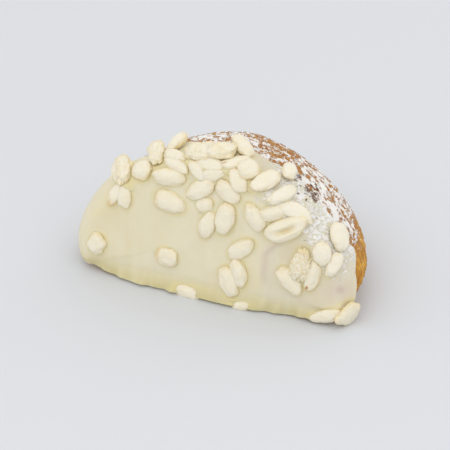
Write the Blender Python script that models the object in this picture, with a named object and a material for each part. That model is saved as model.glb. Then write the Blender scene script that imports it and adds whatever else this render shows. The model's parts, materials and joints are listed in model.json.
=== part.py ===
"""A glazed sfogliatella: a ridged shell of baked pastry whose wide mouth is dipped in white chocolate.

The shell lies on its flat underside. Its mouth is D-shaped, faces -Y and leans back a little. The shell's
layers run round it, parallel to the mouth, and close in on a rounded tail at +Y. The coat of chocolate is
a separate solid that caps the mouth, wraps over its rim and ends in an uneven edge on the shell's back.

Sizes are in metres, +Z is up, and the origin is at the bottom centre of the whole.
"""

import math

import bmesh
import bpy
from mathutils import Vector, noise

# Driving dimensions of the baked shell
SHELL_WIDTH = 0.0990
SHELL_HEIGHT = 0.0480
SHELL_DEPTH = 0.0675
MOUTH_WIDEST_HEIGHT = 0.0088    # height above the table at which the mouth is widest
BACK_WIDEST_HEIGHT = 0.0115     # and at which the back behind it is widest
SINK = 0.0018                   # how much of the rounded underside is pressed flat
MOUTH_LEAN = math.radians(8.0)  # how far the mouth leans back from upright
MOUTH_BULGE = 0.0012            # how far the filled mouth swells forward at its middle
MOUTH_MIDDLE_HEIGHT = 0.0200
FOOT_BOW = 0.0020               # how far the foot of the mouth curves forward between its corners
FOOT_BOW_HEIGHT = 0.0220
RIM_DEPTH = 0.0095              # the rounding between the mouth and the shell's back
RIM_INSET = 0.0055
FOOT_INSET_SHARE = 0.4          # how much of that rounding the foot of the mouth has

# How the D-shaped cross-section and its taper are curved: 2 is an ellipse, more is squarer
UPPER_RIGHT_POWER = 1.62
UPPER_LEFT_POWER = 1.62
MOUTH_LOWER_POWER = 4.60
BACK_LOWER_POWER = 2.10
TAPER_POWER = 1.75
TAPER_ROOT = 1.41
UNDERSIDE_TAPER_POWER = 6.0

# The layers of the shell, and the unevenness of the bake
RIDGES = 22
RIDGE_DEPTH = 0.0009
RIDGE_LIP = 0.78                # where the lip stands within one layer's width
LUMP_SIZE = 0.0240
LUMP_HEIGHT = 0.0007

# The white chocolate
COAT_GAP = 0.0004
COAT_THICKNESS = 0.0014
COAT_EDGE_THINNING = 0.45       # share of the thickness that is gone at the coat's edge
COAT_EDGE_SHARPNESS = 3         # how late along the coat that thinning sets in
COAT_EDGE_ROUND = 0.010         # how far the rounded edge reaches on, as a share of the coat
COAT_WRAP_TOP = 0.0080          # how far behind the mouth the coat ends, over the top
COAT_WRAP_LEFT = 0.0120         # and at its two sides
COAT_WRAP_RIGHT = 0.0060
COAT_WAVE = 0.0015
COAT_WAVES = 7
COAT_FOOT_TURN = 0.55           # sine of the angle below the side at which the coat's foot begins
COAT_FOOT_HEIGHT = 0.0003
COAT_LIP = 0.0012               # how much thicker the chocolate is where it ran down to the foot
COAT_LIP_HEIGHT = 0.0060

# Mesh fineness
SEGMENTS = 52
MOUTH_RINGS = 3
RIM_RINGS = 4
COAT_RINGS = 11
LENGTH_STEPS = 600              # short steps that measure the length of skin over the top

# Finishes: linear colours and roughness
BAKED_COLOUR = (0.50, 0.27, 0.065, 1.0)
BAKED_ROUGHNESS = 0.6
CHOCOLATE_COLOUR = (0.76, 0.69, 0.50, 1.0)
CHOCOLATE_ROUGHNESS = 0.35

# A station runs along the skin: 0 to 1 from the mouth's middle to its border, 1 to 2 round the rim,
# and 2 to 3 along the shell's back to the tip of the tail.
MOUTH_END = 1.0
RIM_END = 2.0
TAIL_END = 3.0
BACK_STATIONS = 1.15            # stations behind the mouth over which the section turns into the back's
PROBE = 1e-3                    # step, in stations and in radians, that finds the skin's direction


def power(value, exponent):
    """A signed power, so that a superellipse works in all four quarters."""
    return math.copysign(abs(value) ** exponent, value)


def smooth_step(share):
    share = min(max(share, 0.0), 1.0)
    return share * share * (3 - 2 * share)


def cross_section(half_width, rise, drop, lower_power, angle):
    """Point of a D-shaped section: angle 0 is the right side, a quarter turn is the top."""
    across, up = math.cos(angle), math.sin(angle)
    if up < 0:
        curve, reach = lower_power, drop
    else:
        curve, reach = (UPPER_RIGHT_POWER if across > 0 else UPPER_LEFT_POWER), rise
    return half_width * power(across, 2 / curve), reach * power(up, 2 / curve)


def envelope(station, angle):
    """Point of the shell's smooth outer skin, before it is pressed flat underneath."""
    rim = min(max(station - MOUTH_END, 0.0), 1.0) * math.pi / 2
    along = min(max(station - RIM_END, 0.0), 1.0)
    inset = RIM_INSET * (1 - math.sin(rim))
    taper = (1 - along**TAPER_POWER) ** (1 / TAPER_ROOT)
    under_taper = math.sqrt(1 - along**UNDERSIDE_TAPER_POWER)
    back = smooth_step((station - MOUTH_END) / BACK_STATIONS)
    widest_height = MOUTH_WIDEST_HEIGHT + (BACK_WIDEST_HEIGHT - MOUTH_WIDEST_HEIGHT) * back
    x, z = cross_section(
        (SHELL_WIDTH / 2 - inset) * taper,
        (SHELL_HEIGHT - widest_height - inset) * taper,
        (widest_height + SINK - inset * FOOT_INSET_SHARE) * under_taper,
        MOUTH_LOWER_POWER + (BACK_LOWER_POWER - MOUTH_LOWER_POWER) * back,
        angle,
    )
    z += widest_height
    y = RIM_DEPTH * (1 - math.cos(rim)) + (SHELL_DEPTH - RIM_DEPTH) * along
    if station < MOUTH_END:
        x *= station
        z = MOUTH_MIDDLE_HEIGHT + (z - MOUTH_MIDDLE_HEIGHT) * station
        y -= MOUTH_BULGE * (1 - station**2)
    low = max(1 - max(z, 0.0) / FOOT_BOW_HEIGHT, 0.0)
    y -= FOOT_BOW * low**2 * math.cos(math.pi * x / SHELL_WIDTH) * (1 - along)
    return Vector((x, y + math.tan(MOUTH_LEAN) * z * (1 - along), z))


def outward(station, angle):
    """Unit normal of the smooth skin."""
    station = min(max(station, PROBE * 2), TAIL_END - PROBE * 2)
    along = envelope(station + PROBE, angle) - envelope(station - PROBE, angle)
    around = envelope(station, angle + PROBE) - envelope(station, angle - PROBE)
    return along.cross(around).normalized()


def lump(point):
    """Height of the bake's soft unevenness at a point."""
    return LUMP_HEIGHT * noise.noise(point / LUMP_SIZE)


def skin(station, angle, lift):
    """Point a height above or below the uneven skin, never under the table."""
    point = envelope(station, angle)
    point += outward(station, angle) * (lift + lump(point))
    return Vector((point.x, point.y, max(point.z, 0.0)))


def even_back_stations(count):
    """Stations from the rim to the tail, an equal length of skin apart over the shell's top."""
    stations = [RIM_END + (TAIL_END - RIM_END) * i / LENGTH_STEPS for i in range(LENGTH_STEPS + 1)]
    points = [envelope(s, math.pi / 2) for s in stations]
    lengths = [0.0]
    for before, after in zip(points, points[1:]):
        lengths.append(lengths[-1] + (after - before).length)
    wanted = [lengths[-1] * i / count for i in range(count + 1)]
    return [stations[min(range(len(lengths)), key=lambda i: abs(lengths[i] - w))] for w in wanted]


def shell_rings():
    """(station, height) of each ring of the shell's skin, from the mouth's middle to the tail."""
    rings = [(MOUTH_END * i / MOUTH_RINGS, 0.0) for i in range(MOUTH_RINGS + 1)]
    rings += [(MOUTH_END + i / RIM_RINGS, 0.0) for i in range(1, RIM_RINGS)]
    edges = even_back_stations(RIDGES)
    for start, end in zip(edges, edges[1:]):
        rings.append((start, -RIDGE_DEPTH))
        rings.append((start + (end - start) * RIDGE_LIP, 0.0))
    rings.append((TAIL_END, 0.0))
    return rings


def station_at(depth):
    """Station whose section lies a depth behind the mouth."""
    if depth < RIM_DEPTH:
        return MOUTH_END + math.acos(1 - depth / RIM_DEPTH) / (math.pi / 2)
    return RIM_END + (depth - RIM_DEPTH) / (SHELL_DEPTH - RIM_DEPTH)


def coat_edge(angle):
    """Station at which the coat ends: over the back at the top, at the foot of the mouth below."""
    up = max(math.sin(angle), 0.0)
    side = COAT_WRAP_RIGHT if math.cos(angle) > 0 else COAT_WRAP_LEFT
    wrap = side + (COAT_WRAP_TOP - side) * up
    wrap += COAT_WAVE * up * math.sin(COAT_WAVES * angle)
    foot = smooth_step(-math.sin(angle) / COAT_FOOT_TURN)
    return station_at(wrap) * (1 - foot) + MOUTH_END * foot


def coat_skin(share, angle, thickness):
    """Point of the coat a share of the way from the mouth's middle to the coat's edge."""
    station = coat_edge(angle) * share
    if thickness > 0:
        thickness *= 1 - COAT_EDGE_THINNING * smooth_step(share) ** COAT_EDGE_SHARPNESS
        thickness += COAT_LIP * smooth_step(1 - envelope(station, angle).z / COAT_LIP_HEIGHT)
    point = skin(station, angle, COAT_GAP + thickness)
    return Vector((point.x, point.y, max(point.z, COAT_FOOT_HEIGHT)))


def wrapped_sphere(name, rings, place, material):
    """A UV sphere whose rings and segments are laid onto a skin: place(ring, angle) gives a point."""
    mesh = bmesh.new()
    bmesh.ops.create_uvsphere(mesh, u_segments=SEGMENTS, v_segments=rings, radius=1.0)
    for vert in mesh.verts:
        ring = round(math.acos(min(max(vert.co.z, -1.0), 1.0)) / math.pi * rings)
        vert.co = place(ring, math.atan2(vert.co.y, vert.co.x))
    data = bpy.data.meshes.new(name)
    mesh.to_mesh(data)
    mesh.free()
    data.materials.append(material)
    data.shade_smooth()
    return bpy.data.objects.new(name, data)


def principled(name, colour, roughness):
    material = bpy.data.materials.new(name)
    material.use_nodes = True
    shader = material.node_tree.nodes["Principled BSDF"]
    shader.inputs["Base Color"].default_value = colour
    shader.inputs["Roughness"].default_value = roughness
    shader.inputs["Metallic"].default_value = 0.0
    return material


def make_shell():
    """The baked pastry: one solid, with the steps of its layers round the back."""
    rings = shell_rings()

    def place(ring, angle):
        station, lift = rings[ring]
        return skin(station, angle, lift)

    material = principled("baked_pastry", BAKED_COLOUR, BAKED_ROUGHNESS)
    return wrapped_sphere("pastry_shell", len(rings) - 1, place, material)


def make_coat():
    """The chocolate: the sphere's front half is its outer skin, and its rear half the inner one."""

    def place(ring, angle):
        if ring < COAT_RINGS:
            return coat_skin(ring / (COAT_RINGS - 1), angle, COAT_THICKNESS)
        if ring == COAT_RINGS:
            return coat_skin(1 + COAT_EDGE_ROUND, angle, COAT_THICKNESS / 2)
        return coat_skin((2 * COAT_RINGS - ring) / (COAT_RINGS - 1), angle, 0.0)

    material = principled("white_chocolate", CHOCOLATE_COLOUR, CHOCOLATE_ROUGHNESS)
    return wrapped_sphere("chocolate_coat", 2 * COAT_RINGS, place, material)


def centre_on_origin(parts, collection):
    """Hangs the parts on an empty that brings the middle of their footprint to the origin."""
    corners = [v.co for part in parts for v in part.data.vertices]
    middle = [(min(c[i] for c in corners) + max(c[i] for c in corners)) / 2 for i in range(2)]
    base = bpy.data.objects.new("base", None)
    base.location = (-middle[0], -middle[1], 0.0)
    collection.objects.link(base)
    for part in parts:
        part.parent = base


def main():
    for old in list(bpy.data.objects):
        bpy.data.objects.remove(old)
    collection = bpy.data.collections.new("sfogliatella")
    bpy.context.scene.collection.children.link(collection)
    parts = [make_shell(), make_coat()]
    for part in parts:
        collection.objects.link(part)
    centre_on_origin(parts, collection)


main()
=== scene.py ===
"""Looks of a glazed sfogliatella: baked leaves, white chocolate, puffed rice and icing sugar.

The leaves and the coat are laid over the frame's shell form: a skin that a station and an angle run over.
A station goes from 0 in the mouth's middle to 1 at its border, 2 behind the rim and 3 at the tail's tip.
The angle goes round the section: 0 is the right side, a quarter turn is the top. Sizes are in metres.
"""

import json
import math
from collections import namedtuple

import bmesh
import bpy
import numpy as np
from bpy.props import FloatProperty, FloatVectorProperty, IntProperty, PointerProperty
from bpy.types import Operator, Panel, PropertyGroup
from mathutils import Matrix, Vector, noise

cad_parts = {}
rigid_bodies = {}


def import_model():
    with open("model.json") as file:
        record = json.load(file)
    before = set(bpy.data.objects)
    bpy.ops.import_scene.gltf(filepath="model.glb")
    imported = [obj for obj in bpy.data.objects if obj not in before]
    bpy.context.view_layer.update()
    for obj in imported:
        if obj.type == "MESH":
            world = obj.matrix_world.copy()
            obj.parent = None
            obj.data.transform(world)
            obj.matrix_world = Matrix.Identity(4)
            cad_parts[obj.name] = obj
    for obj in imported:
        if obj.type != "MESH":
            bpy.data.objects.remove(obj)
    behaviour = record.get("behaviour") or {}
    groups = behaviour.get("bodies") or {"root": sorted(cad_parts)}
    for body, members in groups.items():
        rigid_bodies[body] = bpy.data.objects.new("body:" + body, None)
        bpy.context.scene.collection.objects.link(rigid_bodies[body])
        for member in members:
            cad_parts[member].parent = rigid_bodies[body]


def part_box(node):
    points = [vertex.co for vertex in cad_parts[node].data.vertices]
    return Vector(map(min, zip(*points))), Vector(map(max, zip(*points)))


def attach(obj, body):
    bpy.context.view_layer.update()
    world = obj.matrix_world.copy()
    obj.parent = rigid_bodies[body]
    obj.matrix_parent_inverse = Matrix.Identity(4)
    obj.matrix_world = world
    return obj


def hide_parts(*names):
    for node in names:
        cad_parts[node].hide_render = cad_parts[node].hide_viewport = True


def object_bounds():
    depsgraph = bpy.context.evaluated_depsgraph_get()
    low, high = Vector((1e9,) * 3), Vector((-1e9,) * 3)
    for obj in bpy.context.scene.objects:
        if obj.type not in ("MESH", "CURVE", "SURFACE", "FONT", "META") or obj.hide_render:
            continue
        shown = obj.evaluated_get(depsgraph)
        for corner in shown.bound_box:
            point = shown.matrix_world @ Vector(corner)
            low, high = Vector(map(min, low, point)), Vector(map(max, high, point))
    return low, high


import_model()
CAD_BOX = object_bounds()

bl_info = {
    "name": "Glazed sfogliatella",
    "version": (1, 0, 0),
    "blender": (4, 5, 0),
    "location": "3D View > Sidebar > Sfogliatella",
    "description": "Makes a shell pastry with its leaves, white chocolate, puffed rice and icing sugar",
    "category": "Add Mesh",
}

BODY = "root"
MM = 0.001
FOOD_IOR = 1.45

# Curves of the shell's form: 2 is an ellipse, less is more pointed and more is squarer
UPPER_POWER = 1.62
MOUTH_LOWER_POWER = 4.60
BACK_LOWER_POWER = 2.10
TAPER_POWER = 1.75
TAPER_ROOT = 1.41
UNDERSIDE_TAPER_POWER = 6.0
BACK_STATIONS = 1.15  # stations over which the mouth's section turns into the back's
MOUTH_WIDEST_HEIGHT = 0.0088
BACK_WIDEST_HEIGHT = 0.0115
SINK = 0.0018  # how far the section runs under the table, where it is cut flat
MOUTH_BULGE = 0.0012
MOUTH_MIDDLE_HEIGHT = 0.0200
FOOT_BOW = 0.0020
FOOT_BOW_HEIGHT = 0.0220
RIM_DEPTH = 0.0095
RIM_INSET = 0.0055
FOOT_INSET_SHARE = 0.4
LUMP_SIZE = 0.0240
LUMP_HEIGHT = 0.0007
MOUTH_END = 1.0
RIM_END = 2.0
TAIL_END = 3.0
PROBE = 1e-3  # step in station or angle that a slope is taken over
EVEN_SAMPLES = 1200
FINE_ARC = (-14, 194)  # degrees of the section whose points are closer together
FINE_SHARE = 0.72

# Rows of mesh across one leaf, as shares of its width: it climbs to its lip and drops
LEAF_ROWS = (0.0, 0.30, 0.62, 0.84, 0.90)
LIP_SHARE = 0.84
LIP_END = 0.90
LEAVES_START = 1.12
LEAF_SEGMENTS = 300
MOUTH_STATIONS = (0.0, 0.3, 0.6, 0.85, 1.0)
SINK_HEIGHT = 0.005  # height over which the leaves sink in; the foot stays on the floor
LEAST_SINK = 0.2
# Patterns of the crust: repeats round the shell and across a leaf, detail, roughness, distortion
CRUST_PATTERNS = {
    "broad": (7.0, 0.45, 4.0, 0.55, 0.0),
    "streak": (9.0, 2.6, 3.0, 0.55, 0.0),
    "fleck": (26.0, 1.10, 5.0, 0.62, 0.5),
    "blister": (13.0, 1.7, 3.0, 0.6, 0.8),
    "patch": (11.0, 0.40, 2.0, 0.5, 0.0),
}
# How much icing sugar lies on the leaves: (angle in degrees, share)
SUGAR_ROUND = (
    (-60, 0.0), (10, 0.0), (19, 0.50), (27, 0.73), (36, 0.76), (48, 0.70), (57, 0.58), (66, 0.48),
    (76, 0.54), (92, 0.68), (125, 0.66), (150, 0.45), (165, 0.12), (180, 0.0), (240, 0.0),
)
CREST_SUGAR = 0.6
TOP_DUST = 0.75
SUGAR_CLEARED_BY_SHADE = 0.35  # share of the sugar that the painted shade of the fold clears
# Painted shade of a fold by the coat's edge, as dark patches: strength, angle in degrees, its half width,
# station, its half width
FOLD_SHADE_PATCHES = ((1.05, 48.2, 3.6, 1.92, 0.30), (0.70, 55.0, 2.6, 1.98, 0.18))

# Depth of the coat's edge behind the mouth: (angle in degrees, millimetres)
COAT_EDGE = (
    (-40, 3.0), (0, 4.2), (12, 5.3), (21, 8.9), (27, 7.6), (40, 8.4), (48, 9.2), (53, 9.3), (63, 9.5),
    (70, 8.9), (75, 11.2), (88, 7.0), (99, 7.6), (110, 10.1), (123, 9.6), (127, 7.8), (131, 9.8),
    (140, 11.0), (150, 10.4), (154, 8.0), (158, 10.6), (166, 12.0), (220, 11.0),
)
# Ripples of that edge: millimetres, count round the coat, turn
COAT_EDGE_RIPPLES = ((0.5, 23, 0.0), (0.35, 41, 1.0))
COAT_FOOT_TURN = 0.55
COAT_RINGS = 190
COAT_SEGMENTS = 330
COAT_RING_SPREAD = 0.85
COAT_EDGE_THINNING = 0.45
# The coat's rounded edge: (share of its station, share of its thickness) and (..., share of the gap)
COAT_LIP = (1.006, 0.28)
COAT_TUCK = (1.004, 0.4)
COAT_INNER_SHARES = (0.98, 0.9, 0.75, 0.5, 0.25, 0.0)
COAT_LOWEST = 0.0001
# Swells of the coat's face: height, size, offset of the noise
COAT_SWELLS = ((0.00022, 0.011, 3.0), (0.00010, 0.0042, 8.0))
# Ripples of the chocolate at the foot: share of the lip, stretch, size, offset of the noise
FOOT_RIPPLES = ((1.2, (1.0, 0.2, 0.2), 0.0085, 5.0), (0.8, (1.0, 0.5, 0.5), 0.0030, 2.0))
LEAST_RIPPLE = 0.1
# Where the chocolate at the foot swells or draws in: (x, half width, share of the lip)
FOOT_SWELLS = ((-0.008, 0.012, 0.7), (0.026, 0.007, -0.9), (0.041, 0.006, 0.6))
# The fold in the coat, and its hook and toe: (height it starts at, height it ends at, how far aside)
CREASE_X = 0.0196
CREASE_TOP = 0.0250
CREASE_HOOK = (0.0190, 0.0265, 0.0045)
CREASE_TOE = (0.0100, 0.0020, 0.0012)
CREASE_DEPTH = 0.00038
CREASE_WIDTH = 0.0016
CREASE_RUN_OUT = 0.008
# Film of chocolate that climbs a grain: its height and reach, and what fills the gaps in a heap
FILM_HEIGHT = 0.00030
FILM_DEPTH = 0.004
HEAP_HEIGHT = 0.00050
SPOT_PLACE = (0.0455, -0.0300, 0.0125)


def shade(red, green, blue):
    """A linear colour from the usual 0 to 255 display values."""
    def linear(value):
        value /= 255
        return value / 12.92 if value <= 0.04045 else ((value + 0.055) / 1.055) ** 2.4
    return linear(red), linear(green), linear(blue)


# Shades that belong to a pattern; several of them are painted shade
BROWN_UNDER_SUGAR = shade(152, 92, 30)
SUGAR_VEIL = shade(232, 222, 212)
# painted shade of the fold by the coat's edge
SHADE_FLECK_BROWN = shade(98, 62, 38)
SPOT_MIDDLE = shade(196, 168, 158)
# painted shade under the rounded foot
FOOT_SHADE_YELLOW = shade(200, 188, 134)
PALE_BAND = shade(236, 230, 212)
# painted shade by the coat's upper edge
EDGE_SHADE_GREY = shade(200, 188, 166)
# painted contact shade round the grains
CONTACT_SHADE_YELLOW = shade(222, 208, 142)
COAT_POWDER = shade(238, 233, 218)
# painted shade between the sugar streaks
SHADE_AMONG_SUGAR = shade(214, 208, 188)
RICE_CLOUD = shade(236, 224, 190)
# painted shade in the grains' seams, pore gaps and furrows
RICE_HOLLOW_SHADE = shade(220, 198, 138)
# chocolate film with painted contact shade on the grains' low side
RICE_FILM_AND_SHADE = shade(236, 216, 160)
RICE_POWDER = shade(238, 233, 221)
SHADED_SUGAR = shade(232, 230, 228)
FLOOR_CLOUD = shade(210, 213, 217)


def colour(name, description, red, green, blue):
    return FloatVectorProperty(name=name, description=description, default=shade(red, green, blue),
                               subtype="COLOR", size=3, min=0.0, max=1.0)


def length(name, description, default):
    return FloatProperty(name=name, description=description, default=default, subtype="DISTANCE",
                         unit="LENGTH", precision=5, min=0.0)


def amount(name, description, default):
    return FloatProperty(name=name, description=description, default=default, min=0.0)


def slant(name, description, degrees):
    return FloatProperty(name=name, description=description, default=math.radians(degrees),
                         subtype="ANGLE", unit="ROTATION")


# ---------------- settings

class LeafSettings(PropertyGroup):
    width: length("Shell width", "Width of the baked shell", 0.0990)
    height: length("Shell height", "Height of the baked shell", 0.0480)
    depth: length("Shell depth", "Depth from the mouth to the tail", 0.0675)
    lean: slant("Mouth lean", "How far the mouth leans back", 8.0)
    pitch: length("Leaf pitch", "Distance from one leaf's lip to the next", 0.00135)
    lip: length("Lip height", "How far a leaf's lip stands up", 0.00048)
    sink: length("Leaf sink", "How far the grooves lie under the skin on the right side", 0.00075)
    wander: length("Wander", "How far the lips stray from even rings", 0.0007)
    seed: IntProperty(name="Seed", description="Picks the chips and the stray of the lips", default=4)
    golden: colour("Golden", "Baked pastry", 226, 174, 64)
    rust: colour("Rust", "Darker baked patches", 188, 128, 38)
    dark: colour("Dark", "Scorched lips", 146, 88, 32)


class CoatSettings(PropertyGroup):
    gap: length("Gap", "Space between the pastry and the chocolate", 0.0004)
    thickness: length("Thickness", "Thickness of the chocolate", 0.0014)
    lip: length("Foot lip", "Extra chocolate that ran down to the foot", 0.0015)
    lip_height: length("Lip height", "Height at which the foot lip begins", 0.0055)
    cream: colour("Cream", "White chocolate", 229, 221, 195)
    butter: colour("Butter", "Thicker, yellower chocolate", 223, 212, 175)
    grey: colour("Grey", "Chocolate over the shaded side", 219, 209, 189)
    # also used for painted shade along the coat's fold
    filling_and_crease_shade: colour("Mauve", "Filling that shines through", 203, 184, 172)


class RiceSettings(PropertyGroup):
    sunk: amount("Sunk", "Share of a grain's thickness that is under the chocolate", 0.36)
    cream: colour("Cream", "Puffed rice", 238, 230, 208)
    toast: colour("Toast", "Toasted tips", 226, 196, 140)
    speck: colour("Speck", "Bran specks", 200, 142, 70)


class SugarSettings(PropertyGroup):
    size: length("Clump size", "Radius of the largest clump of sugar", 0.00026)
    on_leaves: amount("On leaves", "Clumps on a square metre of leaves", 3.2e6)
    on_coat: amount("On coat", "Clumps on a square metre of dusted coat", 1.0e7)
    seed: IntProperty(name="Seed", description="Picks the places of the clumps", default=9)
    white: colour("White", "Icing sugar", 243, 239, 233)


class StageSettings(PropertyGroup):
    floor: colour("Floor", "Pale table top", 215, 217, 220)
    azimuth: slant("Azimuth", "Turn of the camera from the front", 23.4)
    elevation: slant("Elevation", "Height angle of the camera", 30.0)
    distance: length("Distance", "Camera to pastry", 0.5)
    lens: amount("Lens", "Focal length in millimetres", 119.2)
    key: FloatProperty(name="Key light", description="Power of the large soft light", default=2.7,
                       subtype="POWER", unit="POWER")
    sky: amount("Sky", "Strength of the light from all round", 0.94)


# ---------------- node trees written as expressions

def math_method(operation, swapped=False):
    """A method of Wire that adds a Math node on the wire and a value."""
    def method(self, value=0.0):
        first, second = (value, self) if swapped else (self, value)
        return self.graph.node("ShaderNodeMath", {"operation": operation}, {0: first, 1: second})
    return method


class Wire:
    """A node's output. Sums and products of wires add Math nodes to the tree."""

    def __init__(self, graph, socket):
        self.graph = graph
        self.socket = socket

    __add__ = __radd__ = math_method("ADD")
    __sub__ = math_method("SUBTRACT")
    __rsub__ = math_method("SUBTRACT", swapped=True)
    __mul__ = __rmul__ = math_method("MULTIPLY")
    __truediv__ = math_method("DIVIDE")
    absolute = math_method("ABSOLUTE")
    fraction = math_method("FRACT")
    whole = math_method("FLOOR")
    least = math_method("MINIMUM")
    most = math_method("MAXIMUM")

    def other(self, name):
        """Another output of the same node."""
        return Wire(self.graph, self.socket.node.outputs[name])

    def away(self, value):
        """Distance from a value."""
        return (self - value).absolute()

    def ramp(self, low, high, start=0.0, end=1.0):
        """A smooth step from start, at low, to end, at high."""
        return self.graph.node(
            "ShaderNodeMapRange", {"interpolation_type": "SMOOTHSTEP"},
            {0: self, 1: low, 2: high, 3: start, 4: end},
        )


class Graph:
    """A shader or geometry tree that is filled by calls."""

    def __init__(self, tree):
        self.tree = tree
        tree.nodes.clear()

    def node(self, kind, settings=(), inputs=(), output=0):
        made = self.tree.nodes.new(kind)
        for key, value in dict(settings).items():
            setattr(made, key, value)
        for key, value in dict(inputs).items():
            if isinstance(value, Wire):
                self.tree.links.new(value.socket, made.inputs[key])
            else:
                made.inputs[key].default_value = value
        return Wire(self, made.outputs[output]) if made.outputs else None

    def noise(self, vector, scale, detail, roughness, distortion=0.0, stretch=None):
        if stretch:
            vector = self.vectors("MULTIPLY", vector, stretch)
        return self.node("ShaderNodeTexNoise", {"noise_dimensions": "3D"}, {
            "Vector": vector, "Scale": scale, "Detail": detail, "Roughness": roughness,
            "Distortion": distortion,
        })

    def mix(self, factor, first, second):
        """Blends two colours."""
        ends = [(*end, 1.0) if not isinstance(end, Wire) else end for end in (first, second)]
        return self.node("ShaderNodeMix", {"data_type": "RGBA"}, {0: factor, 6: ends[0], 7: ends[1]}, 2)

    def layered(self, base, *layers):
        """Lays colours over a base, one after the other, each where its mask says."""
        for mask, colour_over in layers:
            base = self.mix(mask, base, colour_over)
        return base

    def scaled(self, vector, factor):
        return self.node("ShaderNodeVectorMath", {"operation": "SCALE"}, {0: vector, "Scale": factor})

    def vectors(self, operation, first, second):
        return self.node("ShaderNodeVectorMath", {"operation": operation}, {0: first, 1: second})

    def parts(self, vector):
        """The three numbers of a vector."""
        x = self.node("ShaderNodeSeparateXYZ", {}, {0: vector})
        return x, x.other("Y"), x.other("Z")

    def joined(self, x, y, z):
        return self.node("ShaderNodeCombineXYZ", {}, {0: x, 1: y, 2: z})


class ShaderGraph(Graph):
    """A material's tree."""

    def __init__(self, name):
        self.material = bpy.data.materials.new(name)
        self.material.use_nodes = True
        super().__init__(self.material.node_tree)
        self.place = self.node("ShaderNodeTexCoord", {}, {}, "Object")

    def attribute(self, name, output="Fac"):
        return self.node("ShaderNodeAttribute", {"attribute_name": name}, {}, output)

    def bump(self, height, distance, strength):
        return self.node("ShaderNodeBump", {}, {
            "Height": height, "Distance": distance, "Strength": strength,
        })

    def finish(self, base, roughness, normal=None, subsurface=0.0, scale=0.001, radius=(1.0, 0.7, 0.4)):
        """Ends the tree in a shader; the subsurface scale is in metres."""
        inputs = {
            "Base Color": base, "Roughness": roughness, "IOR": FOOD_IOR, "Subsurface Weight": subsurface,
            "Subsurface Scale": scale, "Subsurface Radius": radius,
        }
        if normal is not None:
            inputs["Normal"] = normal
        shader = self.node("ShaderNodeBsdfPrincipled", {}, inputs)
        self.node("ShaderNodeOutputMaterial", {}, {"Surface": shader})
        return self.material


class GeometryGraph(Graph):
    """A Geometry Nodes tree with named inputs, which ends in Realize Instances and Set Material."""

    def __init__(self, name, inputs):
        super().__init__(bpy.data.node_groups.new(name, "GeometryNodeTree"))
        interface = self.tree.interface
        kinds = {"Geometry": "Geometry", **inputs, "Material": "Material"}
        self.identifiers = {}
        for title, kind in kinds.items():
            socket = interface.new_socket(name=title, in_out="INPUT", socket_type="NodeSocket" + kind)
            self.identifiers[title] = socket.identifier
        interface.new_socket(name="Geometry", in_out="OUTPUT", socket_type="NodeSocketGeometry")
        self.entry = self.node("NodeGroupInput", {}, {}, "Geometry")

    def attribute(self, name, data_type="FLOAT"):
        return self.node("GeometryNodeInputNamedAttribute", {"data_type": data_type}, {"Name": name})

    def close(self, geometry):
        real = self.node("GeometryNodeRealizeInstances", {}, {0: geometry})
        painted = self.node("GeometryNodeSetMaterial", {}, {
            "Geometry": real, "Material": self.entry.other("Material"),
        })
        self.node("NodeGroupOutput", {}, {0: painted})
        return self

    def settle(self, piece, **values):
        """Runs the tree on a piece and keeps the result as its plain mesh."""
        modifier = piece.modifiers.new(self.tree.name, "NODES")
        modifier.node_group = self.tree
        for title, value in values.items():
            modifier[self.identifiers[title.replace("_", " ")]] = value
        bpy.context.view_layer.update()
        graph = bpy.context.evaluated_depsgraph_get()
        mesh = bpy.data.meshes.new_from_object(
            piece.evaluated_get(graph), preserve_all_data_layers=True, depsgraph=graph)
        piece.modifiers.clear()
        piece.data = mesh
        mesh.name = piece.name
        return piece


# ---------------- the shell's form

def signed_power(value, exponent):
    return np.sign(value) * np.abs(value) ** exponent


def smooth_step(value):
    value = np.clip(value, 0.0, 1.0)
    return value * value * (3 - 2 * value)


def step_between(value, start, end):
    """A smooth step from 0 at the start to 1 at the end, whichever of them is lower."""
    return smooth_step((value - start) / (end - start))


def bell(value, middle, half_width):
    """1 at the middle, and next to nothing beyond twice the half width."""
    return np.exp(-((value - middle) / half_width) ** 2)


def noise_at(points, size, offset=0.0):
    """Soft noise from -1 to 1 at each point, with swells of a given size."""
    shift = Vector((offset, offset * 1.7, offset * 0.3))
    flat = points.reshape(-1, 3) / size
    values = [noise.noise(Vector(p) + shift) for p in flat]
    return np.array(values).reshape(points.shape[:-1])


def normalised(vectors):
    return vectors / np.maximum(np.linalg.norm(vectors, axis=-1, keepdims=True), 1e-12)


def cross_section(half_width, rise, drop, lower_power, angle):
    """Points of a section whose half under its widest line has its own reach and squareness."""
    across, up = np.cos(angle), np.sin(angle)
    curve = np.where(up < 0, lower_power, UPPER_POWER)
    reach = np.where(up < 0, drop, rise)
    return half_width * signed_power(across, 2 / curve), reach * signed_power(up, 2 / curve)


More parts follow.
